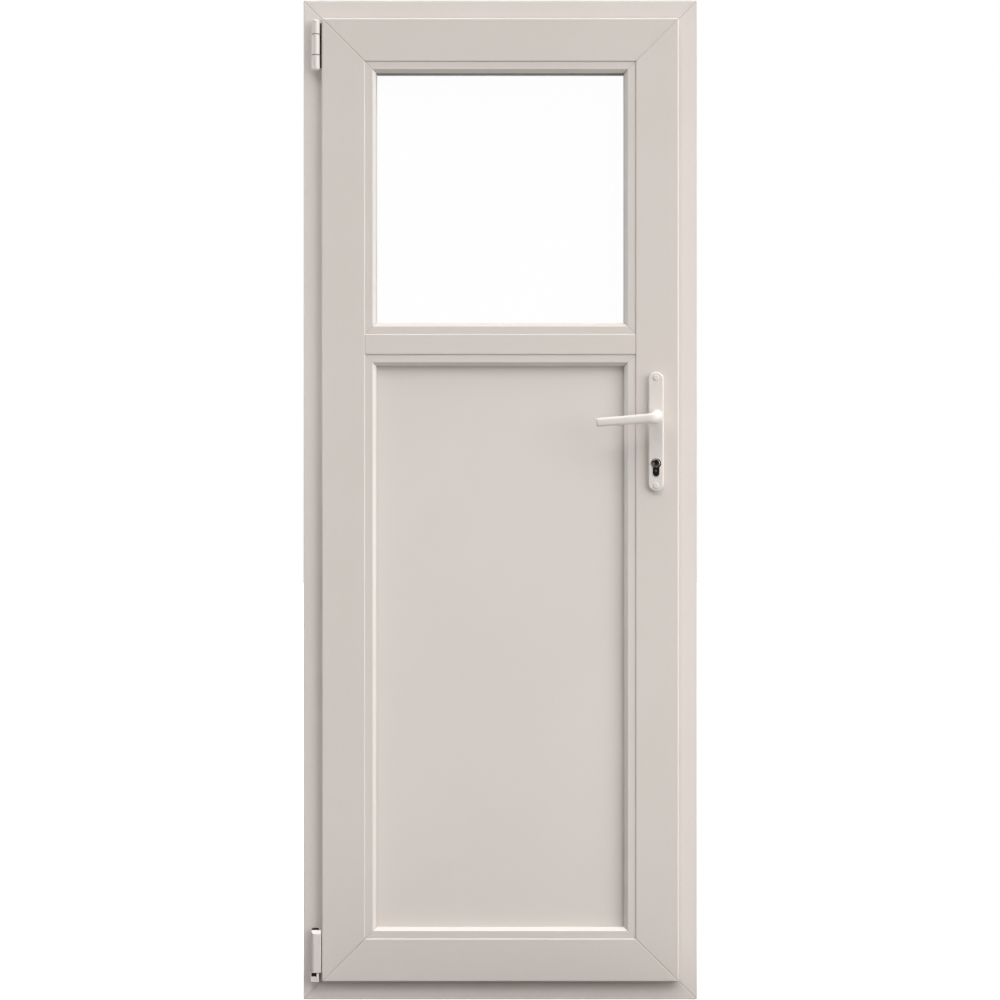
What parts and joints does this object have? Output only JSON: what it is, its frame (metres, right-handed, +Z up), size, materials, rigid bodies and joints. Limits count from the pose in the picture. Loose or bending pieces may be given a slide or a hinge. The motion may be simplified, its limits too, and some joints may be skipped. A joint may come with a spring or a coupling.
{
  "type": "upvc door",
  "caption": "White plastic-framed single door with glazed upper light and solid lower panel, swinging on side hinges, opened by a lever handle over a profile cylinder.",
  "frame": {"origin": "middle of the flat underside of the frame's sill, halfway through the frame's depth", "axes": "+X to the right as seen from the room side, where the hinges are at the left; +Y from the room to the outside; +Z up"},
  "size_m": [0.78, 0.1688, 1.98],
  "materials": {
    "frame_pvc": "satin white",
    "leaf_pvc": "satin white",
    "bead_pvc": "satin white",
    "panel_pvc": "plain white",
    "gasket": "matt light grey",
    "glass": "clear",
    "spacer_aluminium": "mill",
    "coated_metal": "white powder coat",
    "lock_steel": "zinc plated",
    "dark_metal": "dark oxidised"
  },
  "bodies": {
    "frame": {"frame_sill": "frame_pvc", "frame_head": "frame_pvc", "frame_hinge_jamb": "frame_pvc", "frame_lock_jamb": "frame_pvc", "frame_gasket": "gasket", "strike_plate": "lock_steel", "top_hinge_frame_bracket": "coated_metal", "top_hinge_pin": "lock_steel", "bottom_hinge_bearing": "coated_metal", "bottom_hinge_pin": "dark_metal"},
    "leaf": {"leaf_bottom_rail": "leaf_pvc", "leaf_top_rail": "leaf_pvc", "leaf_hinge_stile": "leaf_pvc", "leaf_lock_stile": "leaf_pvc", "leaf_mid_rail": "leaf_pvc", "leaf_gasket": "gasket", "glass_bead_bottom": "bead_pvc", "glass_bead_top": "bead_pvc", "glass_bead_hinge_side": "bead_pvc", "glass_bead_lock_side": "bead_pvc", "panel_bead_bottom": "bead_pvc", "panel_bead_top": "bead_pvc", "panel_bead_hinge_side": "bead_pvc", "panel_bead_lock_side": "bead_pvc", "glass_inner_pane": "glass", "glass_outer_pane": "glass", "glass_spacer": "spacer_aluminium", "lower_panel": "panel_pvc", "glass_gaskets": "gasket", "panel_gaskets": "gasket", "lock_faceplate": "lock_steel", "latch_bolt": "lock_steel", "dead_bolt": "lock_steel", "top_hinge_leaf_knuckle": "coated_metal", "bottom_hinge_leaf_sleeve": "coated_metal", "bottom_hinge_plug": "dark_metal", "inside_handle_plate": "coated_metal", "outside_handle_plate": "coated_metal", "inside_screw_caps": "coated_metal", "lock_cylinder": "dark_metal", "inside_cylinder_plug": "dark_metal", "outside_cylinder_plug": "dark_metal"},
    "levers": {"inside_lever": "coated_metal", "outside_lever": "coated_metal", "spindle": "lock_steel"}
  },
  "joints": [
    {"name": "leaf_swing", "type": "hinge", "parent": "frame", "child": "leaf", "pos_m": [-0.3655, -0.0459, 0.99], "axis": [0, 0, -1], "range_deg": [0, 100]},
    {"name": "lever_turn", "type": "hinge", "parent": "leaf", "child": "levers", "pos_m": [0.3075, -0.02, 1.155], "axis": [0, -1, 0], "range_deg": [0, 40], "stiffness_Nm_per_rad": 1.5, "springref_deg": -28.65}
  ]
}
